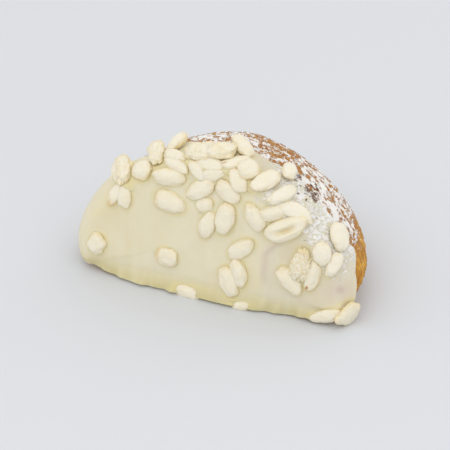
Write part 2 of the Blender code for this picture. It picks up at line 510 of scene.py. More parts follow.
class ShellForm:
    """The smooth outer skin of the shell, in the frame's place."""

    def __init__(self, settings):
        self.width, self.height, self.depth = settings.width, settings.height, settings.depth
        self.slope = math.tan(settings.lean)
        self.shift = 0.0
        tail = self.skin(np.array(TAIL_END), np.array(0.0), 0.0)
        self.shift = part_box("pastry_shell")[1].y - float(tail[1])

    def envelope(self, station, angle):
        station, angle = np.broadcast_arrays(np.asarray(station, float), np.asarray(angle, float))
        rim = np.clip(station - MOUTH_END, 0.0, 1.0) * math.pi / 2
        along = np.clip(station - RIM_END, 0.0, 1.0)
        inset = RIM_INSET * (1 - np.sin(rim))
        taper = (1 - along**TAPER_POWER) ** (1 / TAPER_ROOT)
        under_taper = np.sqrt(np.maximum(1 - along**UNDERSIDE_TAPER_POWER, 0.0))
        back = smooth_step((station - MOUTH_END) / BACK_STATIONS)
        widest = MOUTH_WIDEST_HEIGHT + (BACK_WIDEST_HEIGHT - MOUTH_WIDEST_HEIGHT) * back
        x, z = cross_section(
            (self.width / 2 - inset) * taper,
            (self.height - widest - inset) * taper,
            (widest + SINK - inset * FOOT_INSET_SHARE) * under_taper,
            MOUTH_LOWER_POWER + (BACK_LOWER_POWER - MOUTH_LOWER_POWER) * back,
            angle,
        )
        z = z + widest
        y = RIM_DEPTH * (1 - np.cos(rim)) + (self.depth - RIM_DEPTH) * along
        inside = np.minimum(station, MOUTH_END)
        x = x * inside
        z = MOUTH_MIDDLE_HEIGHT + (z - MOUTH_MIDDLE_HEIGHT) * inside
        y = y - MOUTH_BULGE * (1 - inside**2)
        low = np.maximum(1 - np.maximum(z, 0.0) / FOOT_BOW_HEIGHT, 0.0)
        y = y - FOOT_BOW * low**2 * np.cos(math.pi * x / self.width) * (1 - along)
        y = y + self.slope * z * (1 - along)
        return np.stack([x, y, z], axis=-1)

    def directions(self, station, angle):
        """Unit vectors along the skin towards the tail, and out of it."""
        station = np.clip(station, PROBE * 2, TAIL_END - PROBE * 2)
        along = self.envelope(station + PROBE, angle) - self.envelope(station - PROBE, angle)
        around = self.envelope(station, angle + PROBE) - self.envelope(station, angle - PROBE)
        return normalised(along), normalised(np.cross(along, around))

    def skin(self, station, angle, lift):
        """Point a height above the uneven skin, never under the table, in the frame's place."""
        points = self.envelope(station, angle)
        outward = self.directions(station, angle)[1]
        height = lift + LUMP_HEIGHT * noise_at(points, LUMP_SIZE)
        points = points + outward * np.asarray(height)[..., None]
        points[..., 2] = np.maximum(points[..., 2], 0.0)
        points[..., 1] += self.shift
        return points

    def station_at(self, depth):
        rim = MOUTH_END + np.arccos(np.clip(1 - depth / RIM_DEPTH, -1, 1)) / (math.pi / 2)
        behind = RIM_END + (depth - RIM_DEPTH) / (self.depth - RIM_DEPTH)
        return np.where(depth < RIM_DEPTH, rim, behind)

    def even_stations(self, start, pitch):
        """Stations a pitch apart over the shell's top, from a start to the tail."""
        fine = np.linspace(start, TAIL_END, EVEN_SAMPLES)
        points = self.envelope(fine, math.pi / 2)
        run = np.concatenate([[0.0], np.cumsum(np.linalg.norm(np.diff(points, axis=0), axis=1))])
        count = round(run[-1] / pitch)
        return np.interp(np.linspace(0, run[-1], count + 1), run, fine)


def angles(count):
    """Angles round the section, closer together over the part that shows."""
    low, high = map(math.radians, FINE_ARC)
    upper = int(count * FINE_SHARE)
    over = np.linspace(low, high, upper, endpoint=False)
    under = np.linspace(high, low + math.tau, count - upper, endpoint=False)
    return np.concatenate([over, under])


def looked_up(table, angle):
    """Value of a table of (degrees, value) at each angle."""
    degrees = (np.degrees(angle) + 90) % 360 - 90
    places, values = zip(*table)
    return np.interp(degrees, places, values)


def add_attribute(mesh, title, values):
    """Gives each point of a mesh its own number or vector."""
    values = np.array(values)
    whole = values.dtype.kind == "i"
    vector = values.ndim == 2 and values.shape[1] == 3
    layer = mesh.attributes.new(title, "FLOAT_VECTOR" if vector else "INT" if whole else "FLOAT", "POINT")
    values = values.astype(np.int32 if whole else np.float32)
    layer.data.foreach_set("vector" if vector else "value", values.ravel())


def ring_mesh(name, rings, attributes):
    """A closed mesh of rings of points whose first and last rings have shrunk to poles."""
    count, segments = rings.shape[:2]
    body = rings[1:-1].reshape(-1, 3)
    points = np.concatenate([rings[0, :1], body, rings[-1, :1]])
    faces = []
    last = len(points) - 1
    for ring in range(count - 2):
        start = 1 + ring * segments
        for side in range(segments):
            here = start + side
            beside = start + (side + 1) % segments
            if ring == 0:
                faces.append((0, here, beside))
            if ring == count - 3:
                faces.append((beside, here, last))
            else:
                faces.append((beside, here, here + segments, beside + segments))
    mesh = bpy.data.meshes.new(name)
    mesh.from_pydata(points.tolist(), [], faces)
    for title, values in attributes.items():
        grid = values.reshape(count, segments, -1)
        flat = np.concatenate([grid[0, :1], grid[1:-1].reshape(-1, grid.shape[2]), grid[-1, :1]])
        add_attribute(mesh, title, flat)
    mesh.shade_smooth()
    return mesh


def add_object(name, mesh):
    piece = bpy.data.objects.new(name, mesh)
    bpy.context.scene.collection.objects.link(piece)
    return piece


def hand_over(piece, slot, *nodes):
    """Puts a finished piece on the body and hides the frame's solids that it stands for; the slot is not
    used.
    """
    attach(piece, BODY)
    if nodes:
        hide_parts(*nodes)


# ---------------- baked leaves

def shade_of_fold_at(out, degrees):
    """How strongly the painted shade of a fold shows through the sugar at the coat's upper right edge."""
    return sum(strength * bell(degrees, around, arc) * bell(out, middle, reach)
               for strength, around, arc, middle, reach in FOLD_SHADE_PATCHES)


def shade_flecks(graph, smudge, cover):
    """Where the painted shade of the fold shows, as dark flecks inside it, and only where sugar lies."""
    crumbs = graph.noise(graph.place, 640.0, 4.0, 0.65, stretch=(0.5, 0.8, 1.3))
    return (crumbs * 1.6 + smudge * 0.40).ramp(1.05, 1.14) * cover.ramp(0.1, 0.6)


def crust_material(settings):
    """Baked pastry: golden, rusty along the lips, under a broken cover of icing sugar, with painted fold
    shade by the coat.
    """
    graph = ShaderGraph("baked_leaves")
    place = graph.attribute("leaf_place", "Vector")
    cover = graph.attribute("sugar")
    smudge = graph.attribute("smudge")
    broad, streak, fleck, blister, patch = (
        graph.noise(place, 1.0, *pattern, stretch=(around, around, across))
        for around, across, *pattern in CRUST_PATTERNS.values()
    )
    grain = graph.noise(graph.place, 1900.0, 3.0, 0.6)
    share_of_leaf = graph.parts(place)[2].fraction()
    lip = share_of_leaf.ramp(0.62, 0.86) * (1.0 - share_of_leaf.ramp(0.93, 1.0))
    level = fleck * 0.80 + grain * 0.20 + patch.ramp(0.36, 0.64, -0.06, 0.06)
    sugar = (level - (0.655 - cover * 0.26)).ramp(-0.025, 0.035) * cover.ramp(0.02, 0.10)
    base = graph.layered(
        settings.golden,
        (broad.ramp(0.36, 0.62), settings.rust),
        (streak.ramp(0.52, 0.64) * 0.75, settings.rust),
        (blister.ramp(0.56, 0.66) * 0.8, settings.dark),
        (cover.ramp(0.10, 0.60) * 0.60, BROWN_UNDER_SUGAR),
        (lip * streak.ramp(0.40, 0.62) * 0.75, settings.dark),
        (cover * 0.05, SUGAR_VEIL),
        (sugar, bpy.context.scene.sfogliatella_sugar.white),
        # painted shade of the fold by the coat's edge, in dark flecks
        (shade_flecks(graph, smudge, smudge) * 0.92, SHADE_FLECK_BROWN),
    )
    normal = graph.bump(sugar * (0.6 + 0.4 * grain) + streak * 0.5, 0.0004, 0.8)
    return graph.finish(base, 0.62 + sugar * 0.3, normal, subsurface=0.12, scale=0.0008)


def leaf_tree():
    """Raises each leaf of the shell to a chipped lip and lets the lips stray along the skin."""
    graph = GeometryGraph("leaves", {"Lip": "Float", "Wander": "Float", "Seed": "Int"})
    entry = graph.entry
    seed = entry.other("Seed") * 7.3
    x, y, leaf = graph.parts(graph.attribute("leaf_place", "FLOAT_VECTOR"))
    tailward = graph.attribute("tailward", "FLOAT_VECTOR")

    def chance(repeats, level, detail):
        """Noise that changes round the shell and from leaf to leaf."""
        return graph.noise(graph.joined(x * repeats, y * repeats, level + seed), 1.0, detail, 0.5)

    share_of_leaf = leaf.fraction()
    climb = share_of_leaf / LIP_SHARE
    drop = (LIP_END - share_of_leaf) / (LIP_END - LIP_SHARE)
    profile = climb.least(drop).most(0.0)
    height = chance(5.0, leaf.whole() * 1.37, 2.0).ramp(0.30, 0.66, 0.25, 1.5)
    chips = chance(17.0, leaf.whole() * 2.1, 2.0).ramp(0.34, 0.44, 0.35, 1.0)
    stray = chance(3.0, leaf * 0.16, 3.0) - 0.5
    position = graph.node("GeometryNodeInputPosition")
    floor_fade = graph.parts(position)[2].ramp(0.0004, 0.003)
    rise = profile * height * chips * entry.other("Lip") * floor_fade
    slide = stray * entry.other("Wander") * 2.0 * floor_fade
    lifted = graph.scaled(graph.node("GeometryNodeInputNormal"), rise)
    moved = graph.vectors("ADD", position, graph.vectors("ADD", lifted, graph.scaled(tailward, slide)))
    x_moved, y_moved, z_moved = graph.parts(moved)
    placed = graph.node("GeometryNodeSetPosition", {}, {
        "Geometry": entry, "Position": graph.joined(x_moved, y_moved, z_moved.most(0.0)),
    })
    return graph.close(placed)


def leaf_mesh(form, settings):
    """The shell's skin with rows of points laid along every leaf."""
    edges = form.even_stations(LEAVES_START, settings.pitch)
    stations = list(MOUTH_STATIONS)
    leaves = [0.0] * len(stations)
    for number, (start, end) in enumerate(zip(edges, edges[1:])):
        for row in LEAF_ROWS:
            stations.append(start + (end - start) * row)
            leaves.append(number + row)
    stations.append(TAIL_END)
    leaves.append(float(len(edges) - 1))
    station = np.array(stations)[:, None]
    angle = angles(LEAF_SEGMENTS)[None, :]
    points = form.skin(station, angle, 0.0)
    station, circle = np.broadcast_arrays(station, angle)
    tailward, outward = form.directions(station, circle)
    sink = settings.sink * smooth_step(points[..., 2] / SINK_HEIGHT) * smooth_step(station - MOUTH_END)
    sink = sink * np.maximum(outward[..., 0], LEAST_SINK)
    points = points - outward * sink[..., None]
    leaf = np.broadcast_to(np.array(leaves)[:, None], station.shape)
    tailward[[0, -1]] = 0.0
    facing = step_between(outward[..., 2], 0.20, 0.65)
    facing = facing + CREST_SUGAR * step_between(points[..., 2], 0.030, 0.040)
    return ring_mesh("baked_leaves", points, {
        "leaf_place": np.stack([np.cos(circle), np.sin(circle), leaf], axis=-1),
        "tailward": tailward,
        "sugar": looked_up(SUGAR_ROUND, circle) * np.clip(facing, 0.0, 1.0),
        "smudge": shade_of_fold_at(station, np.degrees(circle)),
    })


# ---------------- white chocolate

Grain = namedtuple("Grain", "kind around out turn length width lift tilt toast speck",
                   defaults=(0.0, 0.0, 0.15, 0.0))

# Every grain of puffed rice: its kind, the angle round the mouth and the station that it lies at, the turn
# of its length from level, its length and width in millimetres, and then how far it is lifted (a share of
# its width), the degrees that its far end is tilted up, how toasted its tip is, and how dark its bran
# speck is.
GRAINS = [Grain(*row) for row in (
    ("popped", 135.6, 1.58, 126, 12.6, 7.6, 0.14, 4), ("slender", 133.6, 1.50, 116, 9.8, 4.4, 0.30),
    ("round", 126, 1.36, 10, 7.8, 6.8, 0.06), ("slender", 140.2, 1.16, 240, 11.0, 4.4, 0.0, 0, 0.9),
    ("whole", 138.2, 0.99, 98, 8.4, 5.0), ("popped", 120, 1.66, 112, 9.8, 6.0, 0.20, 12),
    ("whole", 112.5, 1.84, 60, 8.6, 5.4, 0.20, 12), ("slender", 111, 1.48, 168, 9.8, 4.2, 0.10),
    ("slender", 110, 1.25, 166, 10.6, 4.2, 0.04), ("whole", 114, 1.01, 5, 12.0, 6.0),
    ("slender", 99, 1.08, 139, 8.0, 4.2, 0.08), ("slender", 89, 1.02, 20, 9.8, 4.2, 0.04),
    ("popped", 99, 1.50, 8, 11.0, 7.0, 0.10), ("popped", 87, 1.56, 16, 10.0, 6.6, 0.20),
    ("whole", 93, 1.28, 172, 11.0, 4.8, 0.06, 0, 0.35),
    ("slender", 78, 1.46, 34, 10.4, 4.4, 0.12, 0, 0.2, 0.6),
    ("whole", 79, 1.86, 148, 9.6, 5.4, 0.24, 14), ("round", 72, 1.42, 40, 7.0, 6.8, 0.14),
    ("whole", 74, 1.12, 128, 8.6, 5.4, 0.05), ("whole", 64, 1.40, 44, 10.6, 5.8, 0.06),
    ("round", 59, 1.88, 105, 6.6, 5.0, 0.20), ("slender", 56, 1.36, 45, 10.2, 4.8, 0.08),
    ("whole", 56, 0.76, 130, 10.0, 6.0), ("slender", 54, 0.97, 22, 10.2, 5.0, 0.05),
    ("curved", 48, 1.30, 168, 11.6, 4.9, 0.08), ("split", 45, 0.94, 31, 15.2, 7.2, 0.03, 0, 0.0),
    ("whole", 30, 1.68, 122, 9.6, 6.4, 0.12), ("whole", 29, 1.18, 105, 7.6, 5.8, 0.08),
    ("slender", 22, 1.28, 74, 8.6, 4.6, 0.04), ("porous", 22, 0.82, 80, 11.4, 6.6, 0.08),
    ("slender", 16, 0.88, 79, 11.4, 4.9, 0.06, 0, 0.15, 1.0), ("knobbed", 2, 0.67, 134, 10.4, 6.2),
    ("whole", 26, 0.32, 42, 10.6, 5.6), ("round", -85, 0.60, 112, 10.6, 6.2),
    ("slender", -67, 0.42, 106, 10.4, 5.6, 0.03), ("broken", -119, 0.42, 176, 7.6, 6.4, 0.0, 0, 0.9),
    ("broken", 178, 0.90, 62, 7.6, 6.4, 0.0), ("broken", 122.5, 0.66, 172, 11.8, 7.0, -0.06, 0, 0.4),
    ("broken", 95, 0.56, 20, 6.2, 5.2, -0.03), ("slender", 87, 0.28, 73, 10.4, 5.2),
    ("whole", 68, 0.48, 78, 11.2, 6.5, 0.03), ("whole", 98, 0.78, 36, 11.0, 5.8),
    ("whole", 76, 0.86, 148, 9.6, 5.9), ("whole", -90.6, 0.965, 174, 9.6, 5.0, -0.04),
    ("whole", -86, 0.98, 14, 6.2, 3.5, -0.06), ("slender", -22, 0.99, 22, 11.6, 4.4, 0.03),
    ("broken", -10, 1.38, 24, 9.2, 7.2, 0.06),
)]


def coat_edge(form, angle):
    """Station at which the coat ends: over the back above, at the foot of the mouth below."""
    ripple = sum(size * np.sin(count * angle + turn) for size, count, turn in COAT_EDGE_RIPPLES)
    wrap = looked_up(COAT_EDGE, angle) + ripple * np.maximum(np.sin(angle), 0.0)
    foot = smooth_step(-np.sin(angle) / COAT_FOOT_TURN)
    return form.station_at(wrap * MM) * (1 - foot) + MOUTH_END * foot


def grain_frames(form, settings):
    """(point on the coat, along, across, outward) of every grain."""
    frames = []
    lift = settings.gap + settings.thickness
    for grain in GRAINS:
        station = np.array(grain.out)
        angle = np.array(math.radians(grain.around))
        point = form.skin(station, angle, lift)
        outward = form.directions(station, angle)[1]
        level = normalised(np.array([1.0, 0.0, 0.0]) - outward * outward[0])
        upward = np.cross(outward, level)
        turn = math.radians(grain.turn)
        along = level * math.cos(turn) + upward * math.sin(turn)
        frames.append((point, along, np.cross(outward, along), outward))
    return frames


def crease_x(z):
    """Where the coat's fold runs at a height: nearly upright, and hooked to the right at its top."""
    hook, toe = (far * step_between(z, start, end) for start, end, far in (CREASE_HOOK, CREASE_TOE))
    return CREASE_X + hook - toe


def coat_relief(points, frames):
    """Height of the coat's swells, its fold and the film that climbs each grain; and where painted contact
    shade goes, round each grain and in a heap's gaps.
    """
    height = sum(swell * noise_at(points, size, offset) for swell, size, offset in COAT_SWELLS)
    z = points[..., 2]
    past = points[..., 0] - crease_x(z)
    step = smooth_step(past / CREASE_WIDTH) * np.exp(-np.maximum(past, 0.0) / CREASE_RUN_OUT)
    below = step_between(z, CREASE_TOP + 0.001, CREASE_TOP - 0.002) * step_between(z, 0.004, 0.010)
    height -= CREASE_DEPTH * step * below
    pool = np.zeros(z.shape)
    crowd = np.zeros(z.shape)
    for grain, (centre, along, across, outward) in zip(GRAINS, frames):
        near = points - centre
        u = near @ along / (grain.length * MM / 2)
        v = near @ across / (grain.width * MM / 2)
        reach = np.sqrt(u * u + v * v)
        close = np.exp(-(near @ outward / FILM_DEPTH) ** 2)
        height += FILM_HEIGHT * bell(reach, 0.95, 0.30) * close
        crowd += bell(reach, 0.8, 0.6) * close
        # painted contact shade in a ring round each grain
        pool = np.maximum(pool, bell(reach, 1.0, 0.22) * close)
    height += HEAP_HEIGHT * np.clip(crowd - 1.2, 0.0, 2.4)
    # the gaps of a crowded heap get painted contact shade too
    return height, np.maximum(pool, step_between(crowd, 1.3, 2.5))


def dust_at(out, degrees):
    """How much icing sugar lies on the coat: over its right shoulder, and in a thin band over its top."""
    right = step_between(out, 0.84, 1.26) * step_between(degrees, 9, 24) * step_between(degrees, 68, 60)
    top = step_between(out, 1.62, 1.82) * step_between(degrees, 76, 84) * step_between(degrees, 112, 104)
    return np.maximum(right, TOP_DUST * top)


def coat_mesh(form, settings):
    """The coat's fine outer skin, its rounded edge, and a plain inner skin that closes it."""
    angle = angles(COAT_SEGMENTS)[None, :]
    edge = coat_edge(form, angle)
    share_out = (np.arange(COAT_RINGS) / (COAT_RINGS - 1))[:, None] ** COAT_RING_SPREAD
    station = edge * share_out
    circle = np.broadcast_to(angle, station.shape)
    plain = form.envelope(station, circle)
    ripple = np.ones(station.shape)
    for strength, stretch, size, offset in FOOT_RIPPLES:
        ripple += strength * noise_at(plain * stretch, size, offset)
    for x, half_width, extra in FOOT_SWELLS:
        ripple += extra * bell(plain[..., 0], x, half_width)
    low = smooth_step(1 - plain[..., 2] / settings.lip_height)
    thickness = settings.thickness * (1 - COAT_EDGE_THINNING * smooth_step(share_out) ** 3)
    thickness = thickness + settings.lip * low * np.maximum(ripple, LEAST_RIPPLE)
    outer = form.skin(station, circle, settings.gap + thickness)
    relief, pool = coat_relief(outer, grain_frames(form, settings))
    outer = outer + form.directions(station, circle)[1] * relief[..., None]
    outer[..., 2] = np.maximum(outer[..., 2], 0.0)
    lip = form.skin(edge * COAT_LIP[0], angle, settings.gap + settings.thickness * COAT_LIP[1])
    tuck = form.skin(edge * COAT_TUCK[0], angle, settings.gap * COAT_TUCK[1])
    inner_station = edge * np.array(COAT_INNER_SHARES)[:, None]
    rows = np.concatenate([outer, lip, tuck, form.skin(inner_station, angle, settings.gap)])
    rows[..., 2] = np.maximum(rows[..., 2], COAT_LOWEST)
    out = np.concatenate([station, edge, edge, inner_station])
    degrees = np.degrees(np.broadcast_to(angle, out.shape))
    # painted shade of the fold by the coat's upper right edge
    smudge = shade_of_fold_at(out, degrees)
    return ring_mesh("poured_coat", rows, {
        "dust": dust_at(out, degrees) * (1 - SUGAR_CLEARED_BY_SHADE * np.clip(smudge, 0.0, 1.0)),
        "pool": np.concatenate([pool, np.zeros((len(rows) - COAT_RINGS, COAT_SEGMENTS))]),
        "smudge": smudge,
        # painted shade by the coat's upper edge, near 68 degrees
        "dull": bell(degrees, 68.0, 7.0) * step_between(out, 1.45, 1.70),
    })


def coat_material(settings):
    """White chocolate: creamy, yellower where it is thick, dusted near its edge; painted shade darkens its
    right side, fold, foot, upper edge, grains' rims and sugar gaps.
    """
    graph = ShaderGraph("white_chocolate")
    x, _, z = graph.parts(graph.place)
    pool, dust, smudge, dull = map(graph.attribute, ("pool", "dust", "smudge", "dull"))
    swell = graph.noise(graph.place, 60.0, 3.0, 0.5)
    mottle = graph.noise(graph.place, 230.0, 3.0, 0.55)
    bands = graph.noise(graph.place, 190.0, 2.0, 0.5, stretch=(1.0, 0.2, 0.12))
    streaks = graph.noise(graph.place, 1000.0, 4.0, 0.65, 0.9, stretch=(0.45, 0.7, 1.0))
    powder = graph.noise(graph.place, 1500.0, 3.0, 0.6).ramp(0.56, 0.66) * z.ramp(0.024, 0.036)
    spot = graph.node("ShaderNodeVectorMath", {"operation": "DISTANCE"}, {0: graph.place, 1: SPOT_PLACE}, 1)
    hook_start, hook_end, hook = CREASE_HOOK
    toe_start, toe_end, toe = CREASE_TOE
    bend = z.ramp(hook_start, hook_end, CREASE_X, CREASE_X + hook)
    bend = bend - (z * -1.0).ramp(-toe_start, -toe_end, 0.0, toe)
    # painted shade along the coat's fold
    crease_shade = (1.0 - (x - bend).away(0.0008).ramp(0.0, 0.0024)) * (1.0 - z.away(0.0190).ramp(0.005, 0.0105))
    # painted shade over the coat's right side, below its top
    right = x.ramp(0.0180, 0.0225) * (1.0 - z.ramp(0.020, 0.030))
    sugar = (streaks - (0.66 - dust * 0.185)).ramp(-0.02, 0.03) * dust.ramp(0.02, 0.2)
    base = graph.layered(
        settings.cream,
        (swell.ramp(0.36, 0.66) * 0.55 + mottle * 0.2, settings.butter),
        ((x * -1.0).ramp(0.020, 0.040) * 0.60, settings.butter),
        # painted shade over the right side
        (right * 0.55, settings.grey),
        # painted shade along the fold
        (crease_shade * 0.36, settings.filling_and_crease_shade),
        ((1.0 - spot.ramp(0.0005, 0.0060)) * 0.45, settings.filling_and_crease_shade),
        ((1.0 - spot.ramp(0.0003, 0.0022)) * 0.9, SPOT_MIDDLE),
        # painted shade on the undercut foot of the coat
        ((1.0 - z.ramp(0.0015, 0.0075)) * 0.8, FOOT_SHADE_YELLOW),
        (bands.ramp(0.45, 0.70) * 0.18, PALE_BAND),
        # painted shade by the coat's upper edge
        (dull * 0.6, EDGE_SHADE_GREY),
        # painted contact shade round the grains and in the gaps of a heap
        (pool * 0.55, CONTACT_SHADE_YELLOW),
        (powder * 0.4, COAT_POWDER),
        # painted shade between the sugar streaks over the dusted coat
        (dust * 0.7, SHADE_AMONG_SUGAR),
        (sugar, bpy.context.scene.sfogliatella_sugar.white),
        # painted shade of the fold by the coat's edge, in dark flecks
        (shade_flecks(graph, smudge, dust + smudge) * 0.92, SHADE_FLECK_BROWN),
    )
    normal = graph.bump(mottle * 0.5 + sugar * 0.8, 0.00035, 0.55)
    return graph.finish(base, 0.40 + sugar * 0.35, normal, subsurface=0.35, scale=0.0022,
                        radius=(1.0, 0.85, 0.55))


# ---------------- puffed rice

# How each kind of grain is shaped: fullness and tip of its outline, depth of its grooves, bend of its
# length, height of its wrinkles, the share of its width that is its thickness, and then its popped lobes,
# an opened furrow, a knob, and how far its bubbles stand out.
Kernel = namedtuple("Kernel", "full tip groove bend wrinkle thick lobes furrow knob pores",
                    defaults=(0.0, 0.0, 0.0, 0.0))
KERNELS = {
    "whole": Kernel(2.5, 0.60, 0.05, 0.04, 0.13, 0.62),
    "slender": Kernel(2.3, 0.62, 0.06, 0.10, 0.13, 0.68),
    "curved": Kernel(2.5, 0.58, 0.07, 0.34, 0.12, 0.68),
    "round": Kernel(2.6, 0.52, 0.03, 0.02, 0.14, 0.66),
    "split": Kernel(2.5, 0.60, 0.03, 0.16, 0.08, 0.62, furrow=0.8),
    "knobbed": Kernel(2.8, 0.52, 0.05, 0.06, 0.12, 0.62, knob=0.5),
    "popped": Kernel(2.7, 0.54, 0.05, 0.10, 0.24, 0.60, lobes=0.10),
    "porous": Kernel(2.8, 0.52, 0.03, 0.06, 0.16, 0.66, lobes=0.16, pores=0.42),
    "broken": Kernel(3.3, 0.48, 0.06, 0.05, 0.15, 0.50, lobes=0.03),
}
VARIANTS = 7
RESTING_SHARE = 0.46  # lowest that a grain's middle lies over the table, as a share of its thickness
KERNEL_SUBDIVISIONS = 5
NEARLY_TIP = 0.9999
LEAN = 0.12  # how much fuller one end may be than the other
GROOVES = 3
WRINKLE_SCALE = 1.5
FOLD_SCALE = 2.6
FOLD_SHARE = 0.60
STREAK_STRETCH = (4, 11, 11)
STREAK_SHARE = 0.34
LOBE_SCALE = 1.15
SEAM_WIDTH = 0.16
FINE_LOBE_SCALE = 3.1
FINE_LOBE_SHARE = 0.16
BUBBLE_STRETCH = (5.2, 3.2, 3.2)
BUBBLE_RADIUS = 0.42
KNOB_PLACE = Vector((0.76, 0.36, 0.54))
KNOB_SPREAD = 0.06
FURROW_Y = -0.05
FURROW_HALF_WIDTH = 0.22
FURROW_HALF_LENGTH = 0.56
SPECK_X, SPECK_Y = -0.72, 0.15
SPECK_SPREAD = 0.03


def stretched(vector, factors):
    return Vector(value * factor for value, factor in zip(vector, factors))


def seam_distance(place):
    """How far a place is from the nearest seam between lobes."""
    gaps = noise.voronoi(place)[0]
    return gaps[1] - gaps[0]


def kernel_girth(form, variant, unit):
    """How much fuller than a sphere a grain is here, with its leaning ends and its grooves."""
    reach = min(abs(unit.x), NEARLY_TIP)
    girth = (1 - reach**form.full) ** form.tip / math.sqrt(1 - reach**2)
    girth *= 1 + LEAN * math.sin(variant * 2.1 + form.full) * unit.x
    around = math.atan2(unit.z, unit.y)
    return girth * (1 + form.groove * math.cos(GROOVES * around + variant) * (1 - reach**2))


def kernel_skin(form, seed, unit):
    """How far a grain's skin swells here, as a share of its radius, and how much painted shade its seams
    and the gaps between its bubbles get.
    """
    swell = noise.noise(unit * WRINKLE_SCALE + seed)
    swell += FOLD_SHARE * (0.3 - abs(noise.noise(unit * FOLD_SCALE + seed * 1.3)))
    swell += STREAK_SHARE * noise.noise(stretched(unit, STREAK_STRETCH) + seed)
    swell *= form.wrinkle
    recess_shade = 0.0
    if form.lobes:
        seam = seam_distance(unit * LOBE_SCALE + seed)
        fine_seam = seam_distance(unit * FINE_LOBE_SCALE + seed)
        recess_shade = max(1 - seam / SEAM_WIDTH, 0.0) * form.lobes * 5
        swell += form.lobes * (min(seam, 0.6) - 0.3 + FINE_LOBE_SHARE * (min(fine_seam, 0.5) - 0.25))
    if form.pores:
        bubble = noise.voronoi(stretched(unit, BUBBLE_STRETCH) + seed)[0][0]
        swell += form.pores * (BUBBLE_RADIUS - min(bubble, 0.7))
        recess_shade = 0.55 * min(max(bubble - BUBBLE_RADIUS, 0.0) / 0.22, 1.0)
    if form.knob:
        swell += 0.42 * form.knob * math.exp(-(unit - KNOB_PLACE).length_squared / KNOB_SPREAD)
    return swell, recess_shade


def kernel_mesh(kind, variant):
    """One grain of unit length along X, unit width along Y and unit thickness along Z."""
    form = KERNELS[kind]
    seed = Vector((variant * 3.7, sum(map(ord, kind)) * 0.13, variant * 1.9))
    mesh = bmesh.new()
    bmesh.ops.create_icosphere(mesh, subdivisions=KERNEL_SUBDIVISIONS, radius=1.0)
    end_share, speck_place, height_share, hollow_shade_layer = (
        mesh.verts.layers.float.new(name) for name in ("end_share", "speck_place", "height_share", "furrow")
    )
    for vert in mesh.verts:
        unit = vert.co.copy()
        girth = kernel_girth(form, variant, unit)
        swell, bed = kernel_skin(form, seed, unit)
        co = Vector((unit.x, unit.y * girth, unit.z * girth)) * (1 + swell)
        co.y += form.bend * (co.x * co.x - 0.35)
        if form.furrow and unit.z > 0:
            aside = unit.y - FURROW_Y
            bed = math.exp(-(aside / FURROW_HALF_WIDTH) ** 2)
            bed *= max(1 - (unit.x / FURROW_HALF_LENGTH) ** 2, 0.0)
            co.z -= 0.62 * form.furrow * bed * min(unit.z * 2, 1.0)
            co.z += 0.16 * math.exp(-((abs(aside) - 0.42) / 0.16) ** 2) * (1 - unit.x**2)
        speck_gap = (unit.x - SPECK_X) ** 2 + (unit.y - SPECK_Y) ** 2
        vert[end_share] = unit.x
        vert[speck_place] = math.exp(-speck_gap / SPECK_SPREAD) * (unit.z > 0)
        vert[height_share] = unit.z
        # the furrow layer holds painted shade for seams, pore gaps and the opened furrow
        vert[hollow_shade_layer] = bed
        vert.co = co / 2
    data = bpy.data.meshes.new(f"kernel_{kind}_{variant}")
    mesh.to_mesh(data)
    mesh.free()
    data.shade_smooth()
    return data


def rice_tree():
    """Puts the grains of a collection on points that say which grain, how it faces and its size."""
    graph = GeometryGraph("sprinkled_rice", {"Kernels": "Collection"})
    kernels = graph.node("GeometryNodeCollectionInfo", {"transform_space": "ORIGINAL"}, {
        "Collection": graph.entry.other("Kernels"), "Separate Children": True, "Reset Children": True,
    })
    grains = graph.node("GeometryNodeInstanceOnPoints", {}, {
        "Points": graph.entry, "Instance": kernels, "Pick Instance": True,
        "Instance Index": graph.attribute("variant", "INT"),
        "Rotation": graph.attribute("facing", "FLOAT_VECTOR"),
        "Scale": graph.attribute("size", "FLOAT_VECTOR"),
    })
    return graph.close(grains)


def rice_points(kind, form, coat, sunk):
    """A mesh of one point for each grain of a kind, with what the tree needs to know about it."""
    centres = []
    values = {"facing": [], "size": [], "variant": [], "toast": [], "speck": [], "dusted": []}
    for number, (grain, placed) in enumerate(zip(GRAINS, grain_frames(form, coat))):
        if grain.kind != kind:
            continue
        point, along, across, outward = (Vector(v) for v in placed)
        turned = Matrix.Rotation(math.radians(-grain.tilt), 3, across)
        axes = Matrix((turned @ along, across, turned @ outward)).transposed()
        thick = grain.width * KERNELS[kind].thick
        height = thick * (0.5 - sunk) + grain.lift * grain.width
        centre = point + outward * height * MM
        centre.z = max(centre.z, thick * RESTING_SHARE * MM)
        centres.append(centre)
        row = (axes.to_euler(), Vector((grain.length, grain.width, thick)) * MM, number % VARIANTS,
               grain.toast, grain.speck, float(dust_at(grain.out, grain.around)))
        for column, value in zip(values.values(), row):
            column.append(value)
    mesh = bpy.data.meshes.new("rice_points")
    mesh.from_pydata(centres, [], [])
    for title, column in values.items():
        add_attribute(mesh, title, column)
    return mesh


